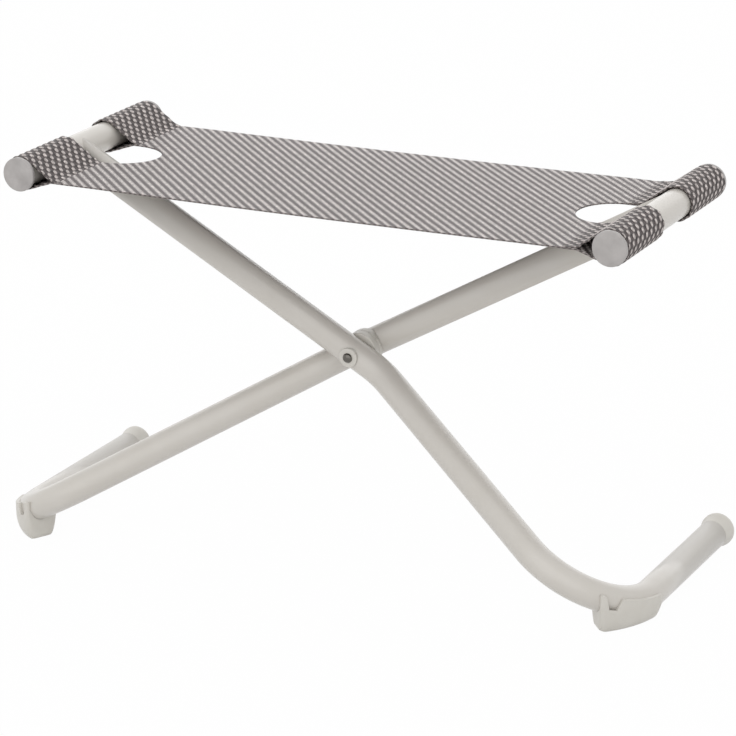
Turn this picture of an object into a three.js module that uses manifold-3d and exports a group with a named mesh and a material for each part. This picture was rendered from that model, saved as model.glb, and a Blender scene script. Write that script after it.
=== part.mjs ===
// Outdoor footstool: two crossed steel-tube frames on one rivet, with a woven sling between their top bars.
// Millimetres, +Z up. The origin is on the floor at the middle of the footprint, the bars run along Y,
// and the front is towards -Y. The two frames mirror each other left to right, apart from their floor corners.
import * as THREE from 'three';
import { mergeVertices } from 'three/addons/utils/BufferGeometryUtils.js';
import Module from 'manifold-3d';

const wasm = await Module();
wasm.setup();

// Steel tube, and the clearances between pieces that touch
const tubeDia = 28;
const tubeWall = 1.5;
const restGap = 0.3;
const plugFit = 0.6;
const cutOverrun = 5;

// Stance of the open stool, to the tube axes
const barHeight = 364.1;
const barHalfSpan = 301.9;
const railHalfSpan = 319.3;
const barLength = 243;
const legSpacing = 37;

// Bends of a frame: a slight one below the hinge, then the corner into the floor rail.
// The rear frame's corner is tighter and reaches further forward, which brings its rail forward too.
const kinkPastHinge = 32.5;
const kinkRadius = 70;
const frontCornerReach = 171;
const frontCornerRadius = 76;
const rearCornerReach = 187;
const rearCornerRadius = 62;
const railLength = 294;

// End caps of the bars and the flared feet on the rail ends
const capDia = 33;
const capHead = 4.6;
const capRound = 1.5;
const capDome = 0.5;
const plugLength = 17;
const plugCore = 10;
const finCount = 3;
const finWidth = 2.4;
const flareLength = 13;
const flareLip = 0.9;

// Weld at the foot of each bar, where the leg meets it
const weldBead = 2.2;

// Hinge: one rivet, a moulded washer under each head and a saddle on each leg
const rivetDia = 6;
const rivetHeadDia = 9.6;
const rivetHeadHeight = 3;
const washerDia = 19;
const washerThickness = 1.6;
const saddleSize = 35;
const saddleRound = 3;
const saddleGrip = 4.5;

// Moulded corner shoe: a sole under the corner of the tube, with a collar at each end that grips the tube.
// Between the collars the wall is scooped out. The sole's edges are rounded up to a share of the tube's height.
const soleWidth = 20;
const soleRoundShare = 0.8;
const shoeWidth = 34;
const shoeLength = 64;
const shoeBackFromRail = 10;
const nearCollar = 5;
const farCollar = 43;
const windowEdge = 1;
const scoopLength = 10;
const collarRise = 6;
const windowDrop = 9;

// Screw that holds a shoe, from below
const screwDia = 3.9;
const screwLength = 16;
const screwHeadDia = 7.6;
const screwHeadHeight = 2.4;
const screwRecess = 5;
const screwFromEnd = 22;

// Sling: one cloth, looped back over each bar and sewn down to itself
const clothThickness = 1.1;
const clothSlack = 0.4;
const slingInset = 0.5;
const seamFromBar = 40;
const seamBelowBar = 5;
const seamWidth = 5;
const notchWidth = 72;
const notchDepth = 36.5;

// Facet counts
const tubeSides = 24;
const boreSides = 16;
const barSides = 32;
const capSides = 20;
const kinkSteps = 4;
const cornerSteps = 13;
const arcSteps = 4;

const fullTurn = 2 * Math.PI;
const quarterTurn = Math.PI / 2;
const tubeRadius = tubeDia / 2;
const boreRadius = tubeRadius - tubeWall;
const capRadius = capDia / 2;
const railHeight = capRadius;
const frameSlope = Math.atan2(barHeight - railHeight, barHalfSpan + railHalfSpan);
const hingeHeight = railHeight + railHalfSpan * Math.tan(frameSlope);
const up = new THREE.Vector3(0, 0, 1);

// Each frame has its bar on one side and its rail on the other; side points to the rail
const frontFrame = {
  side: 1, legY: -legSpacing / 2, cornerY: -frontCornerReach, cornerRadius: frontCornerRadius,
};
const rearFrame = {
  side: -1, legY: legSpacing / 2, cornerY: -rearCornerReach, cornerRadius: rearCornerRadius,
};

const paint = { color: 0xd6d2cb, roughness: 0.42, metalness: 0.1 };
const greyPlastic = { color: 0xb4b0ad, roughness: 0.5, metalness: 0 };
const palePlastic = { color: 0xc9c5bb, roughness: 0.45, metalness: 0 };
const rivetSteel = { color: 0x6b6862, roughness: 0.2, metalness: 1 };
const screwSteel = { color: 0x9a9a98, roughness: 0.3, metalness: 1 };
const slingCloth = { color: 0x98908f, roughness: 0.85, metalness: 0 };

// Solid from a closed geometry, and back

function toSolid(geometry) {
  const bare = geometry.clone();
  bare.deleteAttribute('normal');
  bare.deleteAttribute('uv');
  const merged = mergeVertices(bare);
  return new wasm.Manifold(new wasm.Mesh({
    numProp: 3,
    vertProperties: new Float32Array(merged.attributes.position.array),
    triVerts: new Uint32Array(merged.index.array),
  }));
}

function toGeometry(body) {
  const mesh = body.getMesh();
  const geometry = new THREE.BufferGeometry();
  geometry.setAttribute('position', new THREE.BufferAttribute(new Float32Array(mesh.vertProperties), 3));
  geometry.setIndex(new THREE.BufferAttribute(new Uint32Array(mesh.triVerts), 1));
  geometry.computeVertexNormals();
  return geometry;
}

function piece(name, geometry, finish) {
  const mesh = new THREE.Mesh(geometry, new THREE.MeshStandardMaterial(finish));
  mesh.name = name;
  return mesh;
}

// Plain rod along Y between two heights of y
function rodY(radius, fromY, toY, sides = barSides) {
  const rod = new THREE.CylinderGeometry(radius, radius, toY - fromY, sides);
  return rod.translate(0, (fromY + toY) / 2, 0);
}

// Plain rod along Z
function rodZ(radius, fromZ, toZ, sides = tubeSides) {
  const rod = new THREE.CylinderGeometry(radius, radius, toZ - fromZ, sides);
  return rod.rotateX(quarterTurn).translate(0, 0, (fromZ + toZ) / 2);
}

// Round bend of a centre line
class RoundBend extends THREE.Curve {
  constructor(centre, start, normal, angle) {
    super();
    Object.assign(this, { centre, start, normal, angle });
  }

  getPoint(t, target = new THREE.Vector3()) {
    target.copy(this.start).sub(this.centre).applyAxisAngle(this.normal, this.angle * t);
    return target.add(this.centre);
  }
}

// Centre line of straight runs between corners, each corner rounded to its radius.
// Bends are listed by their distance along the line.
class BentLine extends THREE.CurvePath {
  constructor(corners, radii) {
    super();
    this.bends = [];
    let from = corners[0];
    let travelled = 0;
    radii.forEach((radius, i) => {
      const corner = corners[i + 1];
      const back = corners[i].clone().sub(corner).normalize();
      const ahead = corners[i + 2].clone().sub(corner).normalize();
      const half = back.angleTo(ahead) / 2;
      const start = corner.clone().addScaledVector(back, radius / Math.tan(half));
      const bisector = back.clone().add(ahead).normalize();
      const centre = corner.clone().addScaledVector(bisector, radius / Math.sin(half));
      const normal = back.clone().cross(ahead).normalize().negate();
      const bend = new RoundBend(centre, start, normal, Math.PI - 2 * half);
      this.add(new THREE.LineCurve3(from, start));
      this.add(bend);
      travelled += from.distanceTo(start);
      this.bends.push({ start: travelled, length: bend.getLength() });
      travelled += bend.getLength();
      from = bend.getPoint(1);
    });
    this.add(new THREE.LineCurve3(from, corners[corners.length - 1]));
  }

  pointAlong(distance) {
    return this.getPoint(distance / this.getLength());
  }

  directionAlong(distance) {
    return this.getTangent(distance / this.getLength());
  }
}

// The same line, seen as a row of stations that an extrusion steps through
class SteppedLine extends THREE.Curve {
  constructor(line, stations) {
    super();
    Object.assign(this, { line, stations });
  }

  station(u) {
    return this.stations[Math.round(u * (this.stations.length - 1))];
  }

  getPointAt(u) {
    return this.line.pointAlong(this.station(u));
  }

  getTangentAt(u) {
    return this.line.directionAlong(this.station(u));
  }
}

function sweepTube(line, radius, sides = tubeSides) {
  const stations = [0];
  [kinkSteps, cornerSteps].forEach((steps, i) => {
    const { start, length } = line.bends[i];
    for (let step = 0; step <= steps; step += 1) stations.push(start + length * step / steps);
  });
  stations.push(line.getLength());
  const circle = new THREE.Shape().absarc(0, 0, radius, 0, fullTurn);
  return new THREE.ExtrudeGeometry(circle, {
    steps: stations.length - 1,
    curveSegments: sides / 2,
    extrudePath: new SteppedLine(line, stations),
  });
}

// Centre line of a frame's leg and rail, from the bar's axis to the end of the rail
function legLine({ side, legY, cornerY, cornerRadius }, extra = 0) {
  const bar = new THREE.Vector3(-side * barHalfSpan, legY, barHeight);
  const kink = new THREE.Vector3(
    side * kinkPastHinge * Math.cos(frameSlope),
    legY,
    hingeHeight - kinkPastHinge * Math.sin(frameSlope),
  );
  const corner = new THREE.Vector3(side * railHalfSpan, cornerY, railHeight);
  const end = new THREE.Vector3(side * railHalfSpan, cornerY + railLength + extra, railHeight);
  return new BentLine([bar, kink, corner, end], [kinkRadius, cornerRadius]);
}

// Distances along the leg that place the shoe and its screw. The rail starts where the corner's bend ends.
function shoeSpan(line) {
  const bend = line.bends[1];
  const end = bend.start + bend.length - shoeBackFromRail;
  return { start: end - shoeLength, end, screw: end - shoeLength + screwFromEnd };
}

// Bar with its bore, at its place in the frame
function barPiece(name, { side }) {
  const tube = toSolid(rodY(tubeRadius, -barLength / 2, barLength / 2));
  const bore = toSolid(rodY(boreRadius, -barLength / 2 - cutOverrun, barLength / 2 + cutOverrun, boreSides));
  const bar = piece(name, toGeometry(tube.subtract(bore)), paint);
  bar.position.set(-side * barHalfSpan, 0, barHeight);
  return bar;
}

function atBar(geometry, { side }) {
  return toSolid(geometry.translate(-side * barHalfSpan, 0, barHeight));
}

// Leg and rail in one bent tube, coped to the bar and drilled for the rivet and the shoe's screw
function legPiece(name, frame) {
  const line = legLine(frame);
  const barRoom = atBar(rodY(tubeRadius + restGap, -barLength / 2, barLength / 2), frame);
  const reach = tubeRadius + cutOverrun;
  const rivetHole = rodY(rivetDia / 2 + restGap, frame.legY - reach, frame.legY + reach, tubeSides);
  const screwSpot = line.pointAlong(shoeSpan(line).screw);
  const screwHole = rodZ(screwDia / 2 + restGap, 0, screwSpot.z).translate(screwSpot.x, screwSpot.y, 0);
  const body = toSolid(sweepTube(line, tubeRadius))
    .subtract(toSolid(sweepTube(legLine(frame, cutOverrun), boreRadius, boreSides)))
    .subtract(barRoom)
    .subtract(toSolid(rivetHole.translate(0, 0, hingeHeight)))
    .subtract(toSolid(screwHole));
  return piece(name, toGeometry(body), paint);
}

// Room that the leg takes in the pieces round it
function legRoom(frame) {
  return toSolid(sweepTube(legLine(frame, cutOverrun), tubeRadius + restGap));
}

// Fillet of weld metal round the foot of the bar, where leg and bar cross
function weldPiece(name, frame) {
  const seat = tubeRadius + restGap;
  const collar = new THREE.CylinderGeometry(seat + weldBead, seat + weldBead, 2 * seat, tubeSides);
  collar.rotateZ(quarterTurn).translate(seat, 0, 0);
  collar.rotateY(frameSlope);
  if (frame.side < 0) collar.rotateZ(Math.PI);
  collar.translate(0, frame.legY, 0);
  const ring = rodY(seat + weldBead, frame.legY - 2 * seat, frame.legY + 2 * seat);
  const barRoom = rodY(seat, frame.legY - 2 * seat, frame.legY + 2 * seat);
  const bead = atBar(collar, frame)
    .intersect(atBar(ring, frame))
    .subtract(atBar(barRoom, frame))
    .subtract(legRoom(frame));
  return piece(name, toGeometry(bead), paint);
}

// Finned plug of an end cap, as the inner part of a lathe profile that ends at the tube's mouth
function plugProfile(profile) {
  const finRadius = boreRadius - plugFit;
  const pitch = plugLength / finCount;
  profile.moveTo(0, -plugLength);
  for (let fin = 0; fin < finCount; fin += 1) {
    const y = -plugLength + fin * pitch;
    profile.lineTo(plugCore, y);
    profile.lineTo(finRadius, y + finWidth);
    profile.lineTo(plugCore, y + finWidth);
  }
  profile.lineTo(plugCore, restGap);
}

// Rounded head of a cap, from its rim to the axis
function headProfile(profile) {
  const face = restGap + capHead;
  profile.absarc(capRadius - capRound, face - capRound, capRound, 0, quarterTurn, false);
  profile.quadraticCurveTo((capRadius - capRound) / 2, face + capDome, 0, face + capDome);
}

function barCapGeometry() {
  const profile = new THREE.Path();
  plugProfile(profile);
  profile.lineTo(capRadius - capRound / 2, restGap);
  profile.lineTo(capRadius, restGap + capRound / 2);
  headProfile(profile);
  return new THREE.LatheGeometry(profile.getPoints(arcSteps / 2), capSides);
}

// Foot on the rail's end: a plug, a lip over the tube that flares to the rim it stands on, and a head
function railFootGeometry() {
  const lipInside = tubeRadius + restGap;
  const profile = new THREE.Path();
  plugProfile(profile);
  profile.lineTo(lipInside, restGap);
  profile.lineTo(lipInside, -flareLength);
  profile.lineTo(lipInside + flareLip, -flareLength);
  profile.quadraticCurveTo(lipInside + flareLip, -flareLength / 2, capRadius, 0);
  headProfile(profile);
  return new THREE.LatheGeometry(profile.getPoints(arcSteps / 2), capSides);
}

function barCap(name, { side }, end) {
  const cap = piece(name, barCapGeometry(), greyPlastic);
  if (end < 0) cap.rotation.x = Math.PI;
  cap.position.set(-side * barHalfSpan, end * barLength / 2, barHeight);
  return cap;
}

function railFoot(name, { side, cornerY }) {
  const foot = piece(name, railFootGeometry(), palePlastic);
  foot.position.set(side * railHalfSpan, cornerY + railLength, railHeight);
  return foot;
}

// Hinge

function rivetPiece() {
  const grip = legSpacing / 2 + tubeRadius + washerThickness + restGap;
  const headRadius = rivetHeadDia / 2;
  const profile = new THREE.Path();
  profile.moveTo(0, -grip - rivetHeadHeight);
  profile.quadraticCurveTo(headRadius, -grip - rivetHeadHeight, headRadius, -grip);
  profile.lineTo(rivetDia / 2, -grip);
  profile.lineTo(rivetDia / 2, grip);
  profile.lineTo(headRadius, grip);
  profile.quadraticCurveTo(headRadius, grip + rivetHeadHeight, 0, grip + rivetHeadHeight);
  const rivet = piece('hinge_rivet', new THREE.LatheGeometry(profile.getPoints(arcSteps), capSides), rivetSteel);
  rivet.position.z = hingeHeight;
  return rivet;
}

function rivetRoom() {
  const reach = legSpacing + tubeDia;
  return toSolid(rodY(rivetDia / 2 + restGap, -reach, reach, tubeSides).translate(0, 0, hingeHeight));
}

// Washer under a rivet head, hollowed to the tube it sits on
function hingeWasher(name, frame) {
  const outer = frame.legY + Math.sign(frame.legY) * (tubeRadius + washerThickness);
  const disc = rodY(washerDia / 2, Math.min(outer, frame.legY), Math.max(outer, frame.legY), tubeSides);
  const body = toSolid(disc.translate(0, 0, hingeHeight)).subtract(legRoom(frame)).subtract(rivetRoom());
  return piece(name, toGeometry(body), palePlastic);
}

// Saddle between the legs: flat where it turns on the other one, hollowed to the leg it sits on
function hingeSaddle(name, frame) {
  const half = saddleSize / 2;
  const inner = half - saddleRound;
  const outline = new THREE.Shape();
  outline.absarc(inner, inner, saddleRound, 0, quarterTurn);
  outline.absarc(-inner, inner, saddleRound, quarterTurn, 2 * quarterTurn);
  outline.absarc(-inner, -inner, saddleRound, 2 * quarterTurn, 3 * quarterTurn);
  outline.absarc(inner, -inner, saddleRound, 3 * quarterTurn, fullTurn);
  const gapToTube = (legSpacing - tubeDia) / 2;
  const depth = gapToTube + saddleGrip - restGap / 2;
  const block = new THREE.ExtrudeGeometry(outline, {
    depth,
    bevelEnabled: false,
    curveSegments: arcSteps / 2,
  });
  block.rotateX(quarterTurn);
  block.translate(0, frame.legY > 0 ? restGap / 2 + depth : -restGap / 2, 0);
  block.rotateY(frame.side * frameSlope);
  const body = toSolid(block.translate(0, 0, hingeHeight)).subtract(legRoom(frame)).subtract(rivetRoom());
  return piece(name, toGeometry(body), palePlastic);
}

// Corner shoe

// Upright section across the shoe at one place along the tube, from the floor to a height over the tube's axis
function shoeSection(line, { distance, rise }) {
  const centre = line.pointAlong(distance);
  const across = line.directionAlong(distance).cross(up).normalize();
  const spread = (shoeWidth - soleWidth) / 2;
  const half = [];
  for (let step = 0; step <= arcSteps; step += 1) {
    const turn = quarterTurn * step / arcSteps;
    half.push([soleWidth / 2 + spread * Math.sin(turn), soleRoundShare * centre.z * (1 - Math.cos(turn))]);
  }
  half.push([shoeWidth / 2, centre.z + rise]);
  const ring = [...half, ...half.map(([x, z]) => [-x, z]).reverse()];
  return ring.map(([x, z]) => new THREE.Vector3(centre.x, centre.y, z).addScaledVector(across, x));
}

// Closed skin over a row of like sections
function loft(sections) {
  const count = sections[0].length;
  const points = sections.flat();
  const faces = [];
  for (let row = 0; row + 1 < sections.length; row += 1) {
    for (let i = 0; i < count; i += 1) {
      const a = row * count + i;
      const b = row * count + (i + 1) % count;
      faces.push(a, b + count, b, a, a + count, b + count);
    }
  }
  const last = (sections.length - 1) * count;
  for (let i = 1; i + 1 < count; i += 1) {
    faces.push(0, i, i + 1, last, last + i + 1, last + i);
  }
  const geometry = new THREE.BufferGeometry().setFromPoints(points);
  geometry.setIndex(faces);
  return geometry;
}

// Stations of a stretch of the shoe's wall, whose top climbs from one height to the other
function wallStretch(from, to, fromRise, toRise, steps) {
  const stations = [];
  for (let step = 1; step <= steps; step += 1) {
    const climb = (1 - Math.cos(Math.PI * step / steps)) / 2;
    stations.push({ distance: from + (to - from) * step / steps, rise: fromRise + (toRise - fromRise) * climb });
  }
  return stations;
}

function shoePiece(name, frame) {
  const line = legLine(frame);
  const { start, end, screw } = shoeSpan(line);
  const spot = line.pointAlong(screw);
  const reachDown = -cutOverrun;
  const headRoom = rodZ(screwHeadDia / 2 + restGap, reachDown, screwRecess).translate(spot.x, spot.y, 0);
  const shankRoom = rodZ(screwDia / 2 + restGap, reachDown, spot.z).translate(spot.x, spot.y, 0);
  const windowFrom = start + nearCollar;
  const collarFrom = end - farCollar;
  const scoopFrom = collarFrom - scoopLength;
  const stations = [
    { distance: start, rise: collarRise },
    ...wallStretch(start, windowFrom, collarRise, collarRise, 1),
    ...wallStretch(windowFrom, windowFrom + windowEdge, collarRise, -windowDrop, 1),
    ...wallStretch(windowFrom + windowEdge, scoopFrom, -windowDrop, -windowDrop, 1),
    ...wallStretch(scoopFrom, collarFrom, -windowDrop, collarRise, arcSteps),
    ...wallStretch(collarFrom, end, collarRise, collarRise, arcSteps),
  ];
  const body = toSolid(loft(stations.map((station) => shoeSection(line, station))))
    .subtract(legRoom(frame))
    .subtract(toSolid(headRoom))
    .subtract(toSolid(shankRoom));
  return piece(name, toGeometry(body), palePlastic);
}

function screwPiece(name, frame) {
  const line = legLine(frame);
  const spot = line.pointAlong(shoeSpan(line).screw);
  const seat = screwRecess - restGap;
  const profile = new THREE.Path();
  profile.moveTo(0, seat - screwHeadHeight);
  profile.quadraticCurveTo(screwHeadDia / 2, seat - screwHeadHeight, screwHeadDia / 2, seat);
  profile.lineTo(screwDia / 2, seat);
  profile.lineTo(screwDia / 2, seat + screwLength - screwDia);
  profile.lineTo(0, seat + screwLength);
  const shape = new THREE.LatheGeometry(profile.getPoints(arcSteps), tubeSides / 2);
  const screw = piece(name, shape.rotateX(quarterTurn), screwSteel);
  screw.position.set(spot.x, spot.y, 0);
  return screw;
}

// Sling

const slingWidth = barLength - 2 * slingInset;
const seamX = barHalfSpan - seamFromBar;
const notchEdge = notchWidth / 2;

// Loop of cloth round a bar, drawn with the bar's axis at the middle and the seam towards +X.
// The two layers leave the bar as tangents and lie on each other over the width of the seam.
function loopOutline(shape, radius, foldX, layer) {
  const drop = -seamBelowBar;
  const upper = tangentAngle(radius, foldX, drop + layer, 1);
  const lower = tangentAngle(radius, foldX, drop - layer, -1);
  shape.moveTo(foldX, drop + layer);
  shape.absarc(0, 0, radius, upper, lower + fullTurn, false);
  shape.lineTo(foldX, drop - layer);
}

// Angle at which a straight line from a point touches a circle about the origin
function tangentAngle(radius, x, y, turn) {
  return Math.atan2(y, x) + turn * Math.acos(radius / Math.hypot(x, y));
}

function slingLoop(name, { side }, end) {
  const inside = tubeRadius + clothSlack;
  const fold = seamFromBar - seamWidth;
  const outer = new THREE.Shape();
  loopOutline(outer, inside + clothThickness, fold, clothThickness);
  outer.lineTo(seamFromBar, -seamBelowBar - clothThickness);
  outer.lineTo(seamFromBar, -seamBelowBar + clothThickness);
  const hollow = new THREE.Path();
  loopOutline(hollow, inside, fold - clothThickness, 0);
  outer.holes.push(hollow);
  const length = slingWidth / 2 - notchEdge;
  const loop = new THREE.ExtrudeGeometry(outer, {
    depth: length,
    bevelEnabled: false,
    curveSegments: barSides / 4,
  });
  loop.rotateX(quarterTurn);
  if (side < 0) loop.rotateZ(Math.PI).translate(0, -length, 0);
  const nearY = end < 0 ? -slingWidth / 2 : notchEdge;
  const mesh = piece(name, loop, slingCloth);
  mesh.position.set(-side * barHalfSpan, nearY + length, barHeight);
  return mesh;
}

// Flat of the sling between the seams, with a round-ended notch at each end where a leg comes up to its bar
function slingPanel() {
  const halfLength = seamX - restGap;
  const halfWidth = slingWidth / 2;
  const outline = new THREE.Shape();
  outline.moveTo(-halfLength, -halfWidth);
  outline.lineTo(halfLength, -halfWidth);
  outline.lineTo(halfLength, -notchEdge);
  outline.absellipse(halfLength, 0, notchDepth, notchEdge, 3 * quarterTurn, quarterTurn, true);
  outline.lineTo(halfLength, halfWidth);
  outline.lineTo(-halfLength, halfWidth);
  outline.absellipse(-halfLength, 0, notchDepth, notchEdge, quarterTurn, -quarterTurn, true);
  const shape = new THREE.ExtrudeGeometry(outline, {
    depth: clothThickness,
    bevelEnabled: false,
    curveSegments: barSides / 4,
  });
  const panel = piece('sling_panel', shape, slingCloth);
  panel.position.z = barHeight - seamBelowBar - clothThickness;
  return panel;
}

// The pieces that each frame carries
function framePieces(frame, bar, legEnd) {
  const group = new THREE.Group();
  group.add(
    barPiece(`${bar}_bar`, frame),
    barCap(`${bar}_bar_front_cap`, frame, -1),
    barCap(`${bar}_bar_rear_cap`, frame, 1),
    legPiece(`${legEnd}_leg`, frame),
    weldPiece(`${bar}_bar_weld`, frame),
    hingeSaddle(`${legEnd}_hinge_saddle`, frame),
    hingeWasher(`${legEnd}_hinge_washer`, frame),
    shoePiece(`${legEnd}_corner_shoe`, frame),
    screwPiece(`${legEnd}_shoe_screw`, frame),
    railFoot(`${legEnd}_rail_foot`, frame),
    slingLoop(`${bar}_sling_loop_front`, frame, -1),
    slingLoop(`${bar}_sling_loop_rear`, frame, 1),
  );
  return group;
}

const footstool = new THREE.Group();
footstool.add(
  framePieces(frontFrame, 'left', 'front'),
  framePieces(rearFrame, 'right', 'rear'),
  rivetPiece(),
  slingPanel(),
);

// The bars are centred on the hinge; the origin moves to the middle of the whole footprint
const extent = new THREE.Box3().setFromObject(footstool, true);
footstool.position.y = -(extent.min.y + extent.max.y) / 2;

export default footstool;
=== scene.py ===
# Outdoor footstool: two crossed steel-tube frames on one rivet, with a woven sling between their top bars.
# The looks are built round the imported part, in its own frame: metres, +Z up, bars along Y, front towards -Y.
import math
import bmesh
import bpy
from mathutils import Euler, Matrix, Vector


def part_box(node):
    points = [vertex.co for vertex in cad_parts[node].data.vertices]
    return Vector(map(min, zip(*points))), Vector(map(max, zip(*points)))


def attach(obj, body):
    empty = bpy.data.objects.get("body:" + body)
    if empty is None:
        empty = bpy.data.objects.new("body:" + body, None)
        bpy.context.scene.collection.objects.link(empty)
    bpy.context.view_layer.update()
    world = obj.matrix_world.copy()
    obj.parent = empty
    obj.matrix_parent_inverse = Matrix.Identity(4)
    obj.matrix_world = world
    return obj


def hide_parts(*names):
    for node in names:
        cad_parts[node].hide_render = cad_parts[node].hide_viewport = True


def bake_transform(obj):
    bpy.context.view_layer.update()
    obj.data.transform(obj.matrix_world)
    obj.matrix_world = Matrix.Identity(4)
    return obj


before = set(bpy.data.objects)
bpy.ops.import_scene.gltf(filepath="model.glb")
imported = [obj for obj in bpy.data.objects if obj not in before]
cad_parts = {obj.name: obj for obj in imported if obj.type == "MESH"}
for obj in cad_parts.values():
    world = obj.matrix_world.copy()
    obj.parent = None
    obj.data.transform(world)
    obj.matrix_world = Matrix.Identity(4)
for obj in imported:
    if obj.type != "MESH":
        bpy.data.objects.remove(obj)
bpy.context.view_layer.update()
mm = 0.001
yAxis = Vector((0, 1, 0))
zAxis = Vector((0, 0, 1))
toBack = Matrix.Identity(3)                       # turned pieces are drawn along +Y
toFront = Matrix.Rotation(math.pi, 3, "Z")
toTop = Matrix.Rotation(math.pi / 2, 3, "X")
sharpEdge = math.radians(35)                      # steeper edges stay sharp
mergeFine = 0.001 * mm                            # joins the points of a turned profile
mergeLoose = 0.01 * mm                            # joins packed triangles and the two halves of the cloth
white = (1, 1, 1, 1)


# Camera

camera = {
    "place": (1.3272, -2.6825, 1.1735),
    "down": 0.32118,        # radians below the horizon
    "heading": 0.45612,     # radians from +Y towards -X
    "roll": -0.0078677,
    "lens": 160.97,         # mm, on the sensor below
    "sensor": 36,
    "shift": (-0.00068, 0.00068),
}


def placeCamera():
    lens = bpy.data.cameras.new("photo_camera")
    lens.lens = camera["lens"]
    lens.sensor_width = camera["sensor"]
    lens.shift_x, lens.shift_y = camera["shift"]
    view = bpy.data.objects.new("photo_camera", lens)
    bpy.context.scene.collection.objects.link(view)
    turn = Euler((math.pi / 2 - camera["down"], 0, camera["heading"])).to_matrix()
    roll = Matrix.Rotation(camera["roll"], 3, "Z")
    view.matrix_world = Matrix.Translation(camera["place"]) @ (turn @ roll).to_4x4()
    bpy.context.scene.camera = view


placeCamera()
print("camera placed")


# Small helpers for colours, nodes and meshes

def linear(hexColour):
    channels = [int(hexColour[i:i + 2], 16) / 255 for i in (1, 3, 5)]
    return [c / 12.92 if c <= 0.04045 else ((c + 0.055) / 1.055) ** 2.4 for c in channels] + [1]


# Adds a node with its properties. An input takes a value, a socket, or a node for that node's first output.
def addNode(owner, kind, inputs={}, **settings):
    node = owner.node_tree.nodes.new(kind)
    for name, value in settings.items():
        setattr(node, name, value)
    for name, value in inputs.items():
        if isinstance(value, bpy.types.Node):
            value = value.outputs[0]
        if isinstance(value, bpy.types.NodeSocket):
            owner.node_tree.links.new(value, node.inputs[name])
        else:
            node.inputs[name].default_value = value
    return node


def newMaterial(name):
    material = bpy.data.materials.new(name)
    material.use_nodes = True
    material.node_tree.nodes.clear()
    return material


def newPiece(name, bm, material):
    for face in bm.faces:
        face.smooth = True
    mesh = bpy.data.meshes.new(name)
    bm.to_mesh(mesh)
    bm.free()
    mesh.set_sharp_from_angle(angle=sharpEdge)
    piece = bpy.data.objects.new(name, mesh)
    bpy.context.scene.collection.objects.link(piece)
    piece.data.materials.append(material)
    return piece


# Hangs a piece on the body it rides on, and hides the imported nodes it stands for
def declare(piece, body, slot, *nodes):
    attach(piece, body)
    if nodes:
        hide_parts(*nodes)


# Applies a piece's modifiers
def settle(piece):
    finished = piece.evaluated_get(bpy.context.evaluated_depsgraph_get())
    final = bpy.data.meshes.new_from_object(finished)
    piece.modifiers.clear()
    piece.data = final
    final.set_sharp_from_angle(angle=sharpEdge)


# Cuts a piece by another, or trims it to their common part, and removes the other
def cutAway(piece, cutter, operation="DIFFERENCE"):
    carve = piece.modifiers.new("carve", "BOOLEAN")
    carve.operation = operation
    carve.solver = "EXACT"
    carve.object = cutter
    settle(piece)
    bpy.data.objects.remove(cutter)


def vertsOf(geom):
    return [g for g in geom if isinstance(g, bmesh.types.BMVert)]


def edgesOf(geom):
    return [g for g in geom if isinstance(g, bmesh.types.BMEdge)]


# A profile of (radius, distance) points turned round an axis, pointed one way and moved to a place
def turned(profile, sides, place, pointing=toBack):
    bm = bmesh.new()
    verts = [bm.verts.new((radius, along, 0)) for radius, along in profile]
    edges = [bm.edges.new(pair) for pair in zip(verts, verts[1:])]
    bmesh.ops.spin(bm, geom=verts + edges, cent=(0, 0, 0), axis=yAxis, angle=2 * math.pi, steps=sides,
                   use_merge=True)
    bmesh.ops.remove_doubles(bm, verts=bm.verts, dist=mergeFine)
    bmesh.ops.recalc_face_normals(bm, faces=bm.faces)
    bmesh.ops.rotate(bm, verts=bm.verts, cent=(0, 0, 0), matrix=pointing)
    bmesh.ops.translate(bm, verts=bm.verts, vec=place)
    return bm


# Points of an arc in a profile, its angles in degrees from the radial direction
def arc(radius, along, size, start, end, steps):
    angles = [math.radians(start + (end - start) * i / steps) for i in range(steps + 1)]
    return [(radius + size * math.cos(a), along + size * math.sin(a)) for a in angles]


# Points of a dome in a profile, from its tip on the axis to its rim
def dome(radius, height, start, steps):
    turns = [math.pi / 2 / steps * i for i in range(steps + 1)]
    return [(radius * math.sin(turn), start + height * (1 - math.cos(turn))) for turn in turns]


def middle(node):
    low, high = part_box(node)
    return (low + high) / 2


# Materials. Pattern sizes in their dictionaries are in millimetres, and where roughness is a pair, it varies
# between the two.

# Powder-coated steel: baked polyester powder, warm white, glossy enough to mirror the white studio softly.
# The cured film has a fine orange-peel ripple, and handling leaves it unevenly dull.
paint = {"base": "#cbc7c1", "dull": "#c3beb6", "roughness": (0.26, 0.38), "coat": 0.3, "coatRoughness": 0.2,
         "peel": 1.6, "peelDepth": 0.02, "peelStrength": 0.2, "patch": 45}


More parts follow.
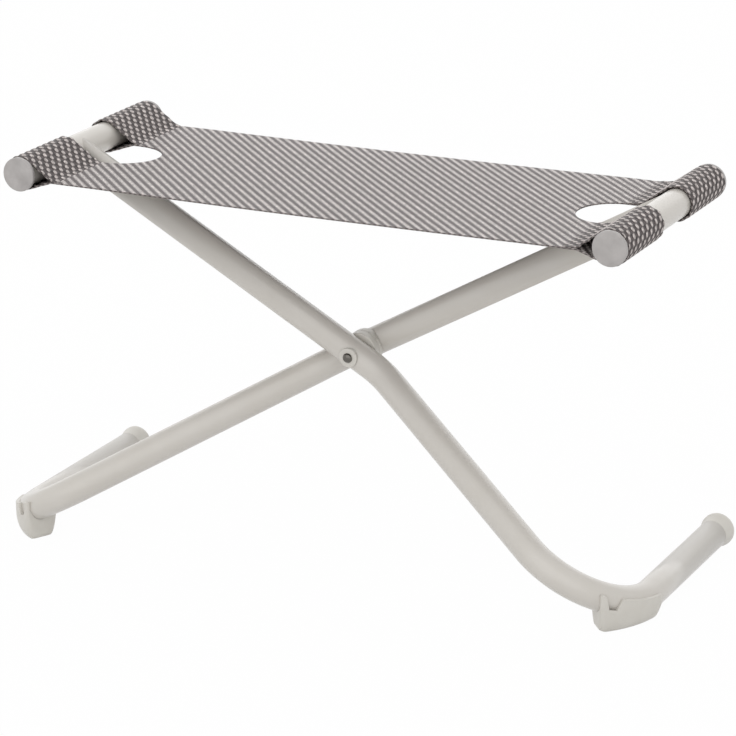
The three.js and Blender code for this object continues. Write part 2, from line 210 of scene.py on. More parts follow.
def powderCoatedSteel():
    material = newMaterial("powder_coated_steel")
    place = addNode(material, "ShaderNodeTexCoord").outputs["Object"]
    patches = addNode(material, "ShaderNodeTexNoise",
                      {"Vector": place, "Scale": 1 / (paint["patch"] * mm), "Detail": 4, "Roughness": 0.6})
    tone = addNode(material, "ShaderNodeMix",
                   {0: patches, 6: linear(paint["base"]), 7: linear(paint["dull"])}, data_type="RGBA")
    shine = addNode(material, "ShaderNodeMapRange",
                    {"Value": patches, "To Min": paint["roughness"][0], "To Max": paint["roughness"][1]})
    peel = addNode(material, "ShaderNodeTexNoise",
                   {"Vector": place, "Scale": 1 / (paint["peel"] * mm), "Detail": 1})
    bump = addNode(material, "ShaderNodeBump",
                   {"Height": peel, "Strength": paint["peelStrength"], "Distance": paint["peelDepth"] * mm})
    shader = addNode(material, "ShaderNodeBsdfPrincipled",
                     {"Base Color": tone.outputs[2], "Roughness": shine, "Normal": bump, "IOR": 1.5,
                      "Coat Weight": paint["coat"], "Coat Roughness": paint["coatRoughness"]})
    addNode(material, "ShaderNodeOutputMaterial", {"Surface": shader})
    return material


# Injection-moulded plastic: the mould's spark-eroded grain makes it satin, and the melt's flow mottles it
# faintly. The real grain is about 0.1 mm; it is drawn at 0.7 mm so that it shows.
moulding = {"grain": 0.7, "grainDepth": 0.03, "grainStrength": 0.25, "mottle": 14}
greyMoulding = {"base": "#bcb8b6", "flow": "#908c8a", "roughness": (0.31, 0.42)}
paleMoulding = {"base": "#d0cdc6", "flow": "#c5c1b9", "roughness": (0.33, 0.44)}


def mouldedPlastic(name, finish):
    material = newMaterial(name)
    place = addNode(material, "ShaderNodeTexCoord").outputs["Object"]
    mottle = addNode(material, "ShaderNodeTexNoise",
                     {"Vector": place, "Scale": 1 / (moulding["mottle"] * mm), "Detail": 3,
                      "Roughness": 0.55})
    tone = addNode(material, "ShaderNodeMix",
                   {0: mottle, 6: linear(finish["base"]), 7: linear(finish["flow"])}, data_type="RGBA")
    shine = addNode(material, "ShaderNodeMapRange",
                    {"Value": mottle, "To Min": finish["roughness"][0], "To Max": finish["roughness"][1]})
    grain = addNode(material, "ShaderNodeTexVoronoi",
                    {"Vector": place, "Scale": 1 / (moulding["grain"] * mm)})
    bump = addNode(material, "ShaderNodeBump",
                   {"Height": grain, "Strength": moulding["grainStrength"],
                    "Distance": moulding["grainDepth"] * mm})
    shader = addNode(material, "ShaderNodeBsdfPrincipled",
                     {"Base Color": tone.outputs[2], "Roughness": shine, "Normal": bump, "IOR": 1.5})
    addNode(material, "ShaderNodeOutputMaterial", {"Surface": shader})
    return material


# Bright metal: a mirror broken up by fine tooling marks, so its gloss varies from patch to patch
polishedRivet = {"base": "#76736e", "worn": "#57544f", "roughness": (0.15, 0.3), "marks": 0.8}
platedScrew = {"base": "#a3a4a5", "worn": "#858687", "roughness": (0.27, 0.42), "marks": 0.5}


def brightMetal(name, finish):
    material = newMaterial(name)
    place = addNode(material, "ShaderNodeTexCoord").outputs["Object"]
    scratches = addNode(material, "ShaderNodeTexNoise",
                        {"Vector": place, "Scale": 1 / (finish["marks"] * mm), "Detail": 2})
    tone = addNode(material, "ShaderNodeMix",
                   {0: scratches, 6: linear(finish["base"]), 7: linear(finish["worn"])}, data_type="RGBA")
    shine = addNode(material, "ShaderNodeMapRange",
                    {"Value": scratches, "To Min": finish["roughness"][0], "To Max": finish["roughness"][1]})
    shader = addNode(material, "ShaderNodeBsdfPrincipled",
                     {"Base Color": tone.outputs[2], "Roughness": shine, "Metallic": 1})
    addNode(material, "ShaderNodeOutputMaterial", {"Surface": shader})
    return material


# PVC-coated polyester yarns, off-white and taupe, woven in a four-thread repeat. The coating glints through
# the shader, and painted glints sit in flecks of uneven tone. The grooves between yarns get painted shade, and
# the yarns are a little uneven.
weave = {"pitch": 2.65, "repeat": 4, "float": 2, "depth": 0.45, "bump": 0.6, "roughness": 0.56, "slub": 7,
         "uneven": 0.3, "slubSpan": (0.3, 0.7), "fleck": 1.6, "fleckDepth": 0.42, "fleckSpan": (0.35, 0.65)}
# A face yarn's height falls off along it by the power "crown" and across it by "flank"
faceYarns = {"pale": "#e3dbd8", "taupe": "#696060", "paintedGrooveShade": 0.5, "crown": 3, "flank": 2.5}
# "pinch" is how much the back's rows swell, "levels" what counts as bottom and top, and "paleSpan" the levels
# where the rows turn pale
# The crown and dip colours are the pale yarn in painted light and painted shade, and "shade" is the taupe's
# painted shade
backYarns = {"paleLitCrown": "#d3cac6", "paleShadedDip": "#948a87", "taupe": "#5a5150", "shade": "#342c2b",
             "pinch": 0.6, "paleSpan": (0.25, 0.8), "levels": (-1.2, 1.4),
             "rowPhase": -math.pi / 4, "swellPhase": -math.pi * 3 / 4}
perThread = 2 * math.pi / weave["repeat"]         # the back's rows turn this far from thread to thread


# Face: pale floats along the strip and taupe ones across it, two threads long, in stepped diagonal stripes
def faceWeave(material, threads):
    cell = addNode(material, "ShaderNodeVectorMath", {0: threads}, operation="FLOOR")
    cells = addNode(material, "ShaderNodeSeparateXYZ", {0: cell})
    inCell = addNode(material, "ShaderNodeVectorMath", {0: threads}, operation="FRACTION")
    shares = addNode(material, "ShaderNodeSeparateXYZ", {0: inCell})
    diagonal = addNode(material, "ShaderNodeMath", {0: cells.outputs[0], 1: cells.outputs[1]},
                       operation="ADD")
    step = addNode(material, "ShaderNodeMath", {0: diagonal, 1: weave["repeat"]}, operation="FLOORED_MODULO")
    pale = addNode(material, "ShaderNodeMath", {0: step, 1: weave["float"]}, operation="LESS_THAN")
    half = addNode(material, "ShaderNodeMath", {0: step, 1: weave["float"]}, operation="FLOORED_MODULO")
    along = addNode(material, "ShaderNodeMix", {0: pale, 2: shares.outputs[1], 3: shares.outputs[0]})
    across = addNode(material, "ShaderNodeMix", {0: pale, 2: shares.outputs[0], 3: shares.outputs[1]})
    run = addNode(material, "ShaderNodeMath", {0: half, 1: along}, operation="ADD")
    fromMiddle = addNode(material, "ShaderNodeMath", {0: run, 1: weave["float"] / 2}, operation="SUBTRACT")
    length = addNode(material, "ShaderNodeMath", {0: fromMiddle}, operation="ABSOLUTE")
    drop = addNode(material, "ShaderNodeMath", {0: length, 1: faceYarns["crown"]}, operation="POWER")
    side = addNode(material, "ShaderNodeMath", {0: across, 1: 2, 2: -1}, operation="MULTIPLY_ADD")
    width = addNode(material, "ShaderNodeMath", {0: side}, operation="ABSOLUTE")
    fall = addNode(material, "ShaderNodeMath", {0: width, 1: faceYarns["flank"]}, operation="POWER")
    lower = addNode(material, "ShaderNodeMath", {0: drop, 1: fall}, operation="MAXIMUM")
    height = addNode(material, "ShaderNodeMath", {0: 1, 1: lower}, operation="SUBTRACT")
    yarn = addNode(material, "ShaderNodeMix",
                   {0: pale, 6: linear(faceYarns["taupe"]), 7: linear(faceYarns["pale"])}, data_type="RGBA")
    # Painted shade: the yarn's colour darkens towards the grooves between floats, down to the share set in the
    # yarns' table
    paintedGrooveShade = addNode(material, "ShaderNodeMapRange",
                     {"Value": height, "To Min": faceYarns["paintedGrooveShade"], "To Max": 1})
    colour = addNode(material, "ShaderNodeVectorMath", {0: yarn.outputs[2], "Scale": paintedGrooveShade},
                     operation="SCALE")
    return colour, height


# Back: the pale floats stand in rows that swell and pinch, over taupe with painted shade, darkest beside each
# swelling
def backWeave(material, threads):
    count = addNode(material, "ShaderNodeSeparateXYZ", {0: threads})
    difference = addNode(material, "ShaderNodeMath", {0: count.outputs[0], 1: count.outputs[1]},
                         operation="SUBTRACT")
    total = addNode(material, "ShaderNodeMath", {0: count.outputs[0], 1: count.outputs[1]}, operation="ADD")
    rowTurn = addNode(material, "ShaderNodeMath", {0: difference, 1: perThread, 2: backYarns["rowPhase"]},
                      operation="MULTIPLY_ADD")
    swellTurn = addNode(material, "ShaderNodeMath", {0: total, 1: perThread, 2: backYarns["swellPhase"]},
                        operation="MULTIPLY_ADD")
    row = addNode(material, "ShaderNodeMath", {0: rowTurn}, operation="COSINE")
    swell = addNode(material, "ShaderNodeMath", {0: swellTurn}, operation="COSINE")
    level = addNode(material, "ShaderNodeMath", {0: swell, 1: backYarns["pinch"], 2: row},
                    operation="MULTIPLY_ADD")
    pale = addNode(material, "ShaderNodeMapRange",
                   {"Value": level, "From Min": backYarns["paleSpan"][0],
                    "From Max": backYarns["paleSpan"][1]},
                   interpolation_type="SMOOTHSTEP")
    # Painted light and shade follow each swelling: the pale rows are lighter on it and darker in the pinches,
    # and the taupe is darkest beside it
    rise = addNode(material, "ShaderNodeMapRange", {"Value": swell, "From Min": -1, "From Max": 1})
    shadedGround = addNode(material, "ShaderNodeMix",
                     {0: rise, 6: linear(backYarns["taupe"]), 7: linear(backYarns["shade"])},
                     data_type="RGBA")
    paleRow = addNode(material, "ShaderNodeMix",
                     {0: rise, 6: linear(backYarns["paleShadedDip"]), 7: linear(backYarns["paleLitCrown"])},
                     data_type="RGBA")
    colour = addNode(material, "ShaderNodeMix", {0: pale, 6: shadedGround.outputs[2], 7: paleRow.outputs[2]},
                     data_type="RGBA")
    height = addNode(material, "ShaderNodeMapRange",
                     {"Value": level, "From Min": backYarns["levels"][0], "From Max": backYarns["levels"][1]},
                     interpolation_type="SMOOTHSTEP")
    return colour.outputs[2], height


def wovenSling(name, pattern):
    material = newMaterial(name)
    flat = addNode(material, "ShaderNodeTexCoord").outputs["UV"]
    threads = addNode(material, "ShaderNodeVectorMath", {0: flat, "Scale": 1 / (weave["pitch"] * mm)},
                      operation="SCALE")
    colour, height = pattern(material, threads)
    slubs = addNode(material, "ShaderNodeTexNoise",
                    {"Vector": flat, "Scale": 1 / (weave["slub"] * mm), "Detail": 3, "Roughness": 0.8})
    tint = addNode(material, "ShaderNodeMapRange",
                   {"Value": slubs, "From Min": weave["slubSpan"][0], "From Max": weave["slubSpan"][1],
                    "To Min": 1 - weave["uneven"], "To Max": 1 + weave["uneven"] / 2})
    # Flecks of tone: partly uneven yarn, partly painted glint that brightens the colour
    flecks = addNode(material, "ShaderNodeTexNoise",
                     {"Vector": flat, "Scale": 1 / (weave["fleck"] * mm), "Detail": 1})
    unevenFleckAndGlint = addNode(material, "ShaderNodeMapRange",
                    {"Value": flecks, "From Min": weave["fleckSpan"][0], "From Max": weave["fleckSpan"][1],
                     "To Min": 1 - weave["fleckDepth"], "To Max": 1 + weave["fleckDepth"] / 2})
    shade = addNode(material, "ShaderNodeMath", {0: tint, 1: unevenFleckAndGlint}, operation="MULTIPLY")
    tone = addNode(material, "ShaderNodeVectorMath", {0: colour, "Scale": shade}, operation="SCALE")
    bump = addNode(material, "ShaderNodeBump",
                   {"Height": height, "Strength": weave["bump"], "Distance": weave["depth"] * mm})
    shader = addNode(material, "ShaderNodeBsdfPrincipled",
                     {"Base Color": tone, "Normal": bump, "Roughness": weave["roughness"], "IOR": 1.5})
    addNode(material, "ShaderNodeOutputMaterial", {"Surface": shader})
    return material


# Cut edge of the cloth: yarn ends sealed by the hot knife, dull, in both yarns' colours
cutEnds = {"taupe": "#4a4241", "pale": "#8b8380", "roughness": 0.6}


def heatCutEdge():
    material = newMaterial("heat_cut_yarn_ends")
    flat = addNode(material, "ShaderNodeTexCoord").outputs["UV"]
    ends = addNode(material, "ShaderNodeTexChecker",
                   {"Vector": flat, "Scale": 1 / (weave["pitch"] * mm), "Color1": linear(cutEnds["taupe"]),
                    "Color2": linear(cutEnds["pale"])})
    shader = addNode(material, "ShaderNodeBsdfPrincipled",
                     {"Base Color": ends, "Roughness": cutEnds["roughness"]})
    addNode(material, "ShaderNodeOutputMaterial", {"Surface": shader})
    return material


# Bonded polyester sewing thread: two plies twisted together, a little darker than the pale yarn. The twist is
# drawn as diagonal bands of painted light and shade.
plied = {"shaded": "#8d8380", "lit": "#a89f9b", "twist": 1.6, "roughness": 0.6}


def sewingThread():
    material = newMaterial("bonded_polyester_thread")
    place = addNode(material, "ShaderNodeTexCoord").outputs["Object"]
    paintedTwistShade = addNode(material, "ShaderNodeTexWave", {"Vector": place, "Scale": 1 / (plied["twist"] * mm)},
                    bands_direction="DIAGONAL")
    tone = addNode(material, "ShaderNodeMix",
                   {0: paintedTwistShade.outputs["Fac"], 6: linear(plied["shaded"]), 7: linear(plied["lit"])},
                   data_type="RGBA")
    shader = addNode(material, "ShaderNodeBsdfPrincipled",
                     {"Base Color": tone.outputs[2], "Roughness": plied["roughness"]})
    addNode(material, "ShaderNodeOutputMaterial", {"Surface": shader})
    return material


paintedSteel = powderCoatedSteel()
greyPolypropylene = mouldedPlastic("moulded_grey_polypropylene", greyMoulding)
paleNylon = mouldedPlastic("moulded_pale_nylon", paleMoulding)
stainlessSteel = brightMetal("polished_stainless_steel", polishedRivet)
zincSteel = brightMetal("zinc_plated_steel", platedScrew)
slingFace = wovenSling("woven_sling_face", faceWeave)
slingBack = wovenSling("woven_sling_back", backWeave)
slingEdge = heatCutEdge()
seamThread = sewingThread()
print("materials made")


# Tubes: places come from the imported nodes

tube = {"radius": (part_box("left_bar")[1].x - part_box("left_bar")[0].x) / 2, "wall": 1.5 * mm, "sides": 64,
        "mouthSink": 0.2 * mm, "barEdge": 0.3 * mm, "barSides": 96}
bend = {"legSpacing": 37 * mm, "kinkPastHinge": 32.5 * mm, "kinkRadius": 70 * mm, "kinkSteps": 14,
        "cornerSteps": 44}
frames = {
    "front": {"side": 1, "bar": "left", "body": "front_frame", "reach": 171 * mm, "cornerRadius": 76 * mm},
    "rear": {"side": -1, "bar": "right", "body": "rear_frame", "reach": 187 * mm, "cornerRadius": 62 * mm},
}
hinge = middle("hinge_rivet")


# Corners of a frame's centre line: bar, kink, floor corner and rail end
def corners(name):
    side = frames[name]["side"]
    low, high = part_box(name + "_leg")
    bar = middle(frames[name]["bar"] + "_bar")
    bar.y = hinge.y - side * bend["legSpacing"] / 2
    railX = high.x - tube["radius"] if side > 0 else low.x + tube["radius"]
    railZ = low.z + tube["radius"]
    slope = math.atan2(bar.z - railZ, abs(railX - bar.x))
    kink = Vector((side * bend["kinkPastHinge"] * math.cos(slope), bar.y,
                   hinge.z - bend["kinkPastHinge"] * math.sin(slope)))
    corner = Vector((railX, hinge.y - frames[name]["reach"], railZ))
    return [bar, kink, corner, Vector((railX, high.y, railZ))]


# A bend between two straight runs: where it starts, its centre, its axis and its angle
def roundCorner(before, corner, after, radius):
    back = (before - corner).normalized()
    ahead = (after - corner).normalized()
    half = back.angle(ahead) / 2
    start = corner + back * radius / math.tan(half)
    centre = corner + (back + ahead).normalized() * radius / math.sin(half)
    axis = -back.cross(ahead).normalized()
    return {"start": start, "centre": centre, "axis": axis, "angle": math.pi - 2 * half, "radius": radius}


def frameBends(name):
    bar, kink, corner, end = corners(name)
    return [roundCorner(bar, kink, corner, bend["kinkRadius"]),
            roundCorner(kink, corner, end, frames[name]["cornerRadius"])]


def runTo(bm, ring, offset):
    out = bmesh.ops.extrude_edge_only(bm, edges=ring)["geom"]
    bmesh.ops.translate(bm, verts=vertsOf(out), vec=offset)
    return edgesOf(out)


# Leg and rail in one bent tube, its mouth coped to the bar's round
def bentTube(name):
    line = corners(name)
    bm = bmesh.new()
    ahead = (line[1] - line[0]).normalized()
    place = Matrix.Translation(line[0]) @ ahead.to_track_quat("Z", "Y").to_matrix().to_4x4()
    mouth = bmesh.ops.create_circle(bm, segments=tube["sides"], radius=tube["radius"], matrix=place)["verts"]
    ring = list(bm.edges)
    at = line[0]
    for turn, steps in zip(frameBends(name), (bend["kinkSteps"], bend["cornerSteps"])):
        ring = runTo(bm, ring, turn["start"] - at)
        verts = list({vert for edge in ring for vert in edge.verts})
        out = bmesh.ops.spin(bm, geom=verts + ring, cent=turn["centre"], axis=turn["axis"],
                             angle=turn["angle"], steps=steps, use_merge=False)
        ring = edgesOf(out["geom_last"])
        spoke = turn["start"] - turn["centre"]
        at = turn["centre"] + Matrix.Rotation(turn["angle"], 3, turn["axis"]) @ spoke
    runTo(bm, ring, line[3] - at)
    for vert in mouth:
        reach = (vert.co - line[0]) - ahead * (vert.co - line[0]).dot(ahead)
        across = math.hypot(reach.x, reach.z)
        vert.co += ahead * math.sqrt(max(0, (tube["radius"] - tube["mouthSink"]) ** 2 - across ** 2))
    bmesh.ops.recalc_face_normals(bm, faces=bm.faces)
    leg = newPiece(name + "_leg_tube", bm, paintedSteel)
    wall = leg.modifiers.new("wall", "SOLIDIFY")
    wall.thickness = tube["wall"]
    wall.offset = -1
    declare(leg, frames[name]["body"], "painted_tube", name + "_leg")


def barTube(side, body):
    low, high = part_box(side + "_bar")
    outside, inside, edge = tube["radius"], tube["radius"] - tube["wall"], tube["barEdge"]
    profile = [(inside, low.y), (outside - edge, low.y), (outside, low.y + edge), (outside, high.y - edge),
               (outside - edge, high.y), (inside, high.y), (inside, low.y)]
    centre = middle(side + "_bar")
    bm = turned(profile, tube["barSides"], (centre.x, 0, centre.z))
    declare(newPiece(side + "_bar_tube", bm, paintedSteel), body, "painted_tube", side + "_bar")


# Weld bead where the leg's tube meets the bar: it thins out towards the two horns of the coped mouth
weld = {"radius": 0.8 * mm, "hornShare": 0.15, "ripple": 0.07, "puddles": 38, "steps": 228, "bevelSteps": 3}


def weldBead(name):
    line = corners(name)
    ahead = (line[1] - line[0]).normalized()
    up = ahead.cross(yAxis).normalized()
    path = bpy.data.curves.new(name, "CURVE")
    path.dimensions = "3D"
    path.bevel_depth = weld["radius"]
    path.bevel_resolution = weld["bevelSteps"]
    spline = path.splines.new("POLY")
    spline.points.add(weld["steps"] - 1)
    spline.use_cyclic_u = True
    for i, point in enumerate(spline.points):
        turn = 2 * math.pi * i / weld["steps"]
        side = abs(math.cos(turn))
        reach = yAxis * math.cos(turn) + up * math.sin(turn)
        full = weld["hornShare"] + (1 - weld["hornShare"]) * side
        inward = (1 - full) * weld["radius"]
        place = line[0] + reach * (tube["radius"] - inward) + ahead * tube["radius"] * side
        point.co = (*place, 1)
        point.radius = full * (1 + weld["ripple"] * math.cos(turn * weld["puddles"]))
    bead = bpy.data.objects.new(frames[name]["bar"] + "_bar_weld_bead", path)
    bpy.context.scene.collection.objects.link(bead)
    path.materials.append(paintedSteel)
    declare(bead, frames[name]["body"], "painted_tube", frames[name]["bar"] + "_bar_weld")


for name, info in frames.items():
    bentTube(name)
    barTube(info["bar"], info["body"])
    weldBead(name)
print("tubes bent")


# Caps and feet, turned. A plug with three fins grips the tube's bore.

cap = {"head": 4.6 * mm, "round": 1.5 * mm, "innerRound": 0.7 * mm, "dome": 0.5 * mm, "plug": 17 * mm,
       "core": 10 * mm, "fin": 2.4 * mm, "fins": 3, "finGap": 0.6 * mm, "gap": 0.3 * mm, "sides": 96,
       "roundSteps": 8, "innerSteps": 5, "domeSteps": 6}
flare = {"length": 13 * mm, "lip": 0.1 * mm, "swell": 1.5, "steps": 12, "lipSteps": 5,
         "fit": -0.05 * mm}     # negative: the lip bites into the tube, so no slit shows round it


def plugPoints():
    finRadius = tube["radius"] - tube["wall"] - cap["finGap"]
    points = [(0, -cap["plug"])]
    for fin in range(cap["fins"]):
        along = -cap["plug"] * (1 - fin / cap["fins"])
        points += [(cap["core"], along), (finRadius, along + cap["fin"]), (cap["core"], along + cap["fin"])]
    return points + [(cap["core"], cap["gap"])]


# Rounded head, from its rim to the axis
def headPoints(radius):
    face = cap["gap"] + cap["head"]
    points = arc(radius - cap["round"], face - cap["round"], cap["round"], 0, 90, cap["roundSteps"])
    for i in reversed(range(cap["domeSteps"])):
        share = i / cap["domeSteps"]
        points.append(((radius - cap["round"]) * share, face + cap["dome"] * (1 - share ** 2)))
    return points


def barCap(side, end, body):
    node = side + "_bar_" + end + "_cap"
    low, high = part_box(node)
    radius = (high.x - low.x) / 2
    bar = middle(side + "_bar")
    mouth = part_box(side + "_bar")[1 if end == "rear" else 0].y
    rim = arc(radius - cap["innerRound"], cap["gap"] + cap["innerRound"], cap["innerRound"], -90, 0,
              cap["innerSteps"])
    bm = turned(plugPoints() + rim + headPoints(radius), cap["sides"], (bar.x, mouth, bar.z),
                toBack if end == "rear" else toFront)
    declare(newPiece(node + "_head", bm, greyPolypropylene), body, "bar_cap", node)


# Foot on a rail's end: a thin lip on the tube that flares out smoothly to the head
def railFoot(name):
    node = name + "_rail_foot"
    low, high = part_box(node)
    radius = (high.x - low.x) / 2
    inside = tube["radius"] + flare["fit"]
    skirt = [(inside, cap["gap"]), (inside, -flare["length"])]
    skirt += arc(inside + flare["lip"] / 2, -flare["length"], flare["lip"] / 2, -150, 0, flare["lipSteps"])
    for i in range(1, flare["steps"] + 1):
        share = i / flare["steps"]
        skirt.append((inside + flare["lip"] + (radius - inside - flare["lip"]) * share ** flare["swell"],
                      -flare["length"] * (1 - share)))
    bm = turned(plugPoints() + skirt + headPoints(radius), cap["sides"], corners(name)[3])
    declare(newPiece(node + "_moulding", bm, paleNylon), frames[name]["body"], "pale_plastic", node)


for name, info in frames.items():
    for end in ("front", "rear"):
        barCap(info["bar"], end, info["body"])
    railFoot(name)
print("caps and feet turned")


# Corner shoes: upright sections lofted along the tube's corner, with two end collars and a scooped window

# The wall stands "rise" above the tube's axis at the collars and "drop" below it in the window, whose ends
# slope over "windowEdge" and "scoop". "end" rounds the shoe's ends, and "toe" its sole's corners.
shoe = {"width": 34 * mm, "sole": 20 * mm, "roundShare": 0.8, "length": 64 * mm, "backFromRail": 10 * mm,
        "nearCollar": 5 * mm, "windowEdge": 3 * mm, "scoop": 10 * mm, "farCollar": 43 * mm,
        "rise": 6 * mm, "drop": 9 * mm, "fit": 0.05 * mm, "rim": 0.5 * mm, "end": 1.6 * mm, "toe": 7 * mm,
        "spacing": 0.8 * mm, "turnSteps": 12, "rimSteps": 4, "endSteps": 4}
screw = {"recess": 5 * mm, "headRoom": 4.1 * mm, "shankRoom": 2.25 * mm, "head": 3.8 * mm,
         "headHeight": 2.4 * mm, "shank": 1.95 * mm, "crossLength": 4.6 * mm, "crossWidth": 0.9 * mm,
         "crossDepth": 1.3 * mm, "headSteps": 6, "sides": 48}


# Centre and direction of the tube at a distance before the end of its corner bend
def onCorner(name, before):
    turn = frameBends(name)[1]
    left = turn["angle"] - before / turn["radius"]
    spoke = Matrix.Rotation(left, 3, turn["axis"]) @ (turn["start"] - turn["centre"])
    return turn["centre"] + spoke, turn["axis"].cross(spoke).normalized()


def smoothStep(value):
    value = min(1, max(0, value))
    return value * value * (3 - 2 * value)


# How far the shoe's wall stands above the tube's axis, by distance from its near end
def wallRise(distance):
    down = smoothStep((distance - shoe["nearCollar"]) / shoe["windowEdge"])
    scoopStart = shoe["length"] - shoe["farCollar"] - shoe["scoop"]
    up = smoothStep((distance - scoopStart) / shoe["scoop"])
    return shoe["rise"] - (shoe["rise"] + shoe["drop"]) * down * (1 - up)


# How much the sole draws in near the shoe's ends, as its corners are rounded
def toeInset(distance):
    inward = max(0, shoe["toe"] - min(distance, shoe["length"] - distance))
    return shoe["toe"] - math.sqrt(shoe["toe"] ** 2 - inward ** 2)


# One section, drawn in at the shoe's ends by an inset that rounds them
def shoeSection(name, distance, inset):
    centre, ahead = onCorner(name, shoe["backFromRail"] + shoe["length"] - distance)
    across = ahead.cross(zAxis).normalized()
    top = wallRise(distance) - inset
    spread = (shoe["width"] - shoe["sole"]) / 2
    tall = (tube["radius"] + shoe["fit"]) / math.hypot(ahead.x, ahead.y)
    toe = toeInset(distance)
    half = []
    for i in range(shoe["turnSteps"] + 1):
        turn = math.pi / 2 * i / shoe["turnSteps"]
        lower = math.cos(turn)
        half.append((shoe["sole"] / 2 + spread * math.sin(turn) - inset - toe * lower,
                     (shoe["roundShare"] * (1 - lower) - 1) * centre.z + (inset + toe / 2) * lower))
    half += arc(shoe["width"] / 2 - inset - shoe["rim"], top - shoe["rim"], shoe["rim"], 0, 90,
                shoe["rimSteps"])
    low = math.asin((top - shoe["rim"] / 2) / tall)
    half.append(((tube["radius"] + shoe["fit"]) * math.cos(low) + shoe["rim"] / 2, top))
    for i in range(shoe["turnSteps"] + 1):
        turn = low - (low + math.pi / 2) * i / shoe["turnSteps"]
        half.append(((tube["radius"] + shoe["fit"]) * math.cos(turn), tall * math.sin(turn)))
    ring = half + [(-x, z) for x, z in reversed(half[:-1])]
    return [centre + across * x + zAxis * z for x, z in ring]


def shoeLoft(name):
    ends = []
    for i in range(shoe["endSteps"] + 1):
        turn = math.pi / 2 * i / shoe["endSteps"]
        ends.append((shoe["end"] * (1 - math.cos(turn)), shoe["end"] * (1 - math.sin(turn))))
    run = shoe["length"] - 2 * shoe["end"]
    count = round(run / shoe["spacing"])
    stations = ends + [(shoe["end"] + run * i / count, 0) for i in range(1, count)]
    stations += [(shoe["length"] - distance, inset) for distance, inset in reversed(ends)]
    bm = bmesh.new()
    verts = [bm.verts.new(point) for point in shoeSection(name, *stations[0])]
    ring = [bm.edges.new(pair) for pair in zip(verts, verts[1:] + verts[:1])]
    bmesh.ops.contextual_create(bm, geom=ring)
    for station in stations[1:]:
        out = bmesh.ops.extrude_edge_only(bm, edges=ring)["geom"]
        fresh = set(vertsOf(out))
        ring = [edge for edge in edgesOf(out) if fresh.issuperset(edge.verts)]
        verts = [next(e.other_vert(v) for e in v.link_edges if e.other_vert(v) in fresh) for v in verts]
        for vert, point in zip(verts, shoeSection(name, *station)):
            vert.co = point
    bmesh.ops.contextual_create(bm, geom=ring)
    bmesh.ops.recalc_face_normals(bm, faces=bm.faces)
    return bm


def cornerShoe(name):
    node = name + "_corner_shoe"
    piece = newPiece(node + "_moulding", shoeLoft(name), paleNylon)
    spot = middle(name + "_shoe_screw")
    top = screw["recess"] + tube["radius"]
    room = [(0, -screw["recess"]), (screw["headRoom"], -screw["recess"]),
            (screw["headRoom"], screw["recess"]), (screw["shankRoom"], screw["recess"]),
            (screw["shankRoom"], top), (0, top)]
    bm = turned(room, screw["sides"], (spot.x, spot.y, 0), toTop)
    cutAway(piece, newPiece("screw_room", bm, paleNylon))
    declare(piece, frames[name]["body"], "pale_plastic", node)


# Screw under the shoe: a pan head with a cross recess, its shank up through the tube's wall
def shoeScrew(name):
    node = name + "_shoe_screw"
    low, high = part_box(node)
    spot = middle(node)
    profile = dome(screw["head"], screw["headHeight"] / 2, low.z, screw["headSteps"])
    seat = low.z + screw["headHeight"]
    profile += [(screw["head"], seat), (screw["shank"], seat), (screw["shank"], high.z - 2 * screw["shank"]),
                (0, high.z)]
    piece = newPiece(node + "_zinc", turned(profile, screw["sides"], (spot.x, spot.y, 0), toTop), zincSteel)
    for turn in (math.pi / 4, -math.pi / 4):
        slot = bmesh.new()
        bmesh.ops.create_cube(slot, size=1)
        bmesh.ops.scale(slot, verts=slot.verts, vec=(screw["crossLength"], screw["crossWidth"],
                                                     2 * screw["crossDepth"]))
        bmesh.ops.rotate(slot, verts=slot.verts, cent=(0, 0, 0), matrix=Matrix.Rotation(turn, 3, "Z"))
        bmesh.ops.translate(slot, verts=slot.verts, vec=(spot.x, spot.y, low.z))
        cutAway(piece, newPiece("cross_recess", slot, zincSteel))
    declare(piece, frames[name]["body"], "zinc_screw", node)


# Small hinge mouldings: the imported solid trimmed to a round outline, its edges as soft as moulded ones
moulded = {"saddle": {"radius": 17.5 * mm, "voxel": 0.45 * mm, "passes": 12},
           "washer": {"radius": 9.4 * mm, "voxel": 0.3 * mm, "passes": 8},
           "relax": 0.5, "cutter": 60 * mm}


def softened(name, kind, body):
    node = name + "_hinge_" + kind
    size = moulded[kind]
    bm = bmesh.new()
    bm.from_mesh(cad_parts[node].data)
    bmesh.ops.remove_doubles(bm, verts=bm.verts, dist=mergeLoose)
    piece = newPiece(node + "_moulding", bm, paleNylon)
    outline = [(0, -moulded["cutter"]), (size["radius"], -moulded["cutter"]),
               (size["radius"], moulded["cutter"]), (0, moulded["cutter"])]
    cutter = newPiece("round_outline", turned(outline, tube["sides"], hinge), paleNylon)
    cutAway(piece, cutter, "INTERSECT")
    grid = piece.modifiers.new("grid", "REMESH")
    grid.mode = "VOXEL"
    grid.voxel_size = size["voxel"]
    grid.use_smooth_shade = True
    relax = piece.modifiers.new("relax", "SMOOTH")
    relax.factor = moulded["relax"]
    relax.iterations = size["passes"]
    settle(piece)
    piece.data.materials.clear()
    piece.data.materials.append(paleNylon)
    declare(piece, body, "pale_plastic", node)


# Rivet: a shank between two domed heads
rivet = {"head": 3 * mm, "edge": 0.2 * mm, "shank": 3 * mm, "headSteps": 10, "sides": 64}


